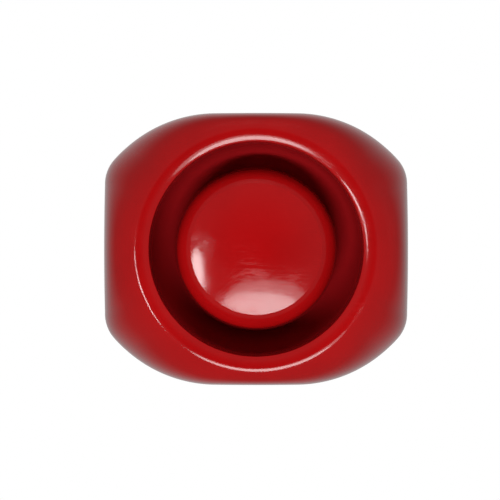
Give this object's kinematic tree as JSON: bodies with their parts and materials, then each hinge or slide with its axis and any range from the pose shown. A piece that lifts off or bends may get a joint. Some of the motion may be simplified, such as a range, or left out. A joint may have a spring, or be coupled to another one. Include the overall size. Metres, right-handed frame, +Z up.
{
  "type": "alarm siren",
  "caption": "Wall-mounted alarm sounder: gloss red horn head with a round ring and central plug, plugged onto a deep back box.",
  "frame": {"origin": "centre of the flat wall face of the back box", "axes": "+Z up the wall, -Y out of the wall towards the front, +X to the viewer's right"},
  "size_m": [0.106, 0.091, 0.0944],
  "materials": {
    "red_gloss": "gloss, lightly scuffed",
    "red_satin": "fine moulded texture",
    "black_rubber": "matt",
    "black_plastic": "satin moulded",
    "board": "solder resist",
    "terminal_green": "satin moulded",
    "screw_steel": "zinc plated",
    "driver_steel": "nickel plated",
    "ferrite": "sintered",
    "brass": "plain",
    "copper": "enamelled wire",
    "amber_film": "film",
    "white_plastic": "satin moulded",
    "blue_plastic": "satin moulded",
    "capacitor_sleeve": "shrunk sleeve",
    "lead_red": "insulation",
    "lead_black": "insulation"
  },
  "bodies": {
    "back_box_base": {"back_box": "red_satin", "bottom_entry_blank": "red_satin", "top_entry_blank": "red_satin", "rear_grommet": "black_rubber", "head_seal": "black_rubber", "terminal_board": "board", "terminal_block": "terminal_green", "terminal_screw_1": "screw_steel", "terminal_screw_2": "screw_steel", "terminal_screw_3": "screw_steel", "terminal_screw_4": "screw_steel", "contact_carrier": "black_plastic", "contact_clip_1": "brass", "contact_clip_2": "brass", "contact_clip_3": "brass"},
    "head": {"front_housing": "red_gloss", "horn_flare": "red_gloss", "plug_body": "red_gloss", "plug_cap": "red_gloss", "driver_gasket": "black_rubber", "rear_cover": "black_plastic", "driver_frame": "black_plastic", "amplifier_chip": "black_plastic", "circuit_board": "board", "driver_screw_1": "screw_steel", "driver_screw_2": "screw_steel", "driver_screw_3": "screw_steel", "driver_screw_4": "screw_steel", "cover_screw_1": "screw_steel", "cover_screw_2": "screw_steel", "cover_screw_3": "screw_steel", "cover_screw_4": "screw_steel", "plug_screw_1": "screw_steel", "plug_screw_2": "screw_steel", "plug_screw_3": "screw_steel", "board_screw_1": "screw_steel", "board_screw_2": "screw_steel", "driver_top_plate": "driver_steel", "driver_yoke": "driver_steel", "driver_magnet": "ferrite", "transformer": "ferrite", "contact_pin_1": "brass", "contact_pin_2": "brass", "contact_pin_3": "brass", "switch_block": "blue_plastic", "volume_body": "blue_plastic", "capacitor_1": "capacitor_sleeve", "capacitor_2": "capacitor_sleeve", "lead_red_wire": "lead_red", "lead_black_wire": "lead_black"},
    "left_lock_screw": {"lock_screw_left": "screw_steel"},
    "right_lock_screw": {"lock_screw_right": "screw_steel"},
    "moving_coil": {"diaphragm": "amber_film", "voice_coil": "copper"},
    "volume_control": {"volume_rotor": "white_plastic"},
    "tone_switch_1": {"tone_slider_1": "white_plastic"},
    "tone_switch_2": {"tone_slider_2": "white_plastic"},
    "tone_switch_3": {"tone_slider_3": "white_plastic"},
    "tone_switch_4": {"tone_slider_4": "white_plastic"}
  },
  "joints": [
    {"name": "head_lift", "type": "slide", "parent": "back_box_base", "child": "head", "axis": [0, -1, 0], "range_m": [0, 0.06]},
    {"name": "left_lock_turn", "type": "hinge", "parent": "head", "child": "left_lock_screw", "pos_m": [-0.0514, -0.045, 0], "axis": [-1, 0, 0], "range_deg": [-90, 0]},
    {"name": "right_lock_turn", "type": "hinge", "parent": "head", "child": "right_lock_screw", "pos_m": [0.0514, -0.045, 0], "axis": [1, 0, 0], "range_deg": [-90, 0]},
    {"name": "cone_travel", "type": "slide", "parent": "head", "child": "moving_coil", "axis": [0, -1, 0], "range_m": [-0.0004, 0.0004], "stiffness_N_per_m": 2500},
    {"name": "volume_turn", "type": "hinge", "parent": "head", "child": "volume_control", "pos_m": [0.012, -0.0234, 0.012], "axis": [0, 1, 0], "range_deg": [-135, 135]},
    {"name": "tone_slide_1", "type": "slide", "parent": "head", "child": "tone_switch_1", "axis": [0, 0, 1], "range_m": [0, 0.0012]},
    {"name": "tone_slide_2", "type": "slide", "parent": "head", "child": "tone_switch_2", "axis": [0, 0, 1], "range_m": [0, 0.0012]},
    {"name": "tone_slide_3", "type": "slide", "parent": "head", "child": "tone_switch_3", "axis": [0, 0, 1], "range_m": [0, 0.0012]},
    {"name": "tone_slide_4", "type": "slide", "parent": "head", "child": "tone_switch_4", "axis": [0, 0, 1], "range_m": [0, 0.0012]}
  ]
}
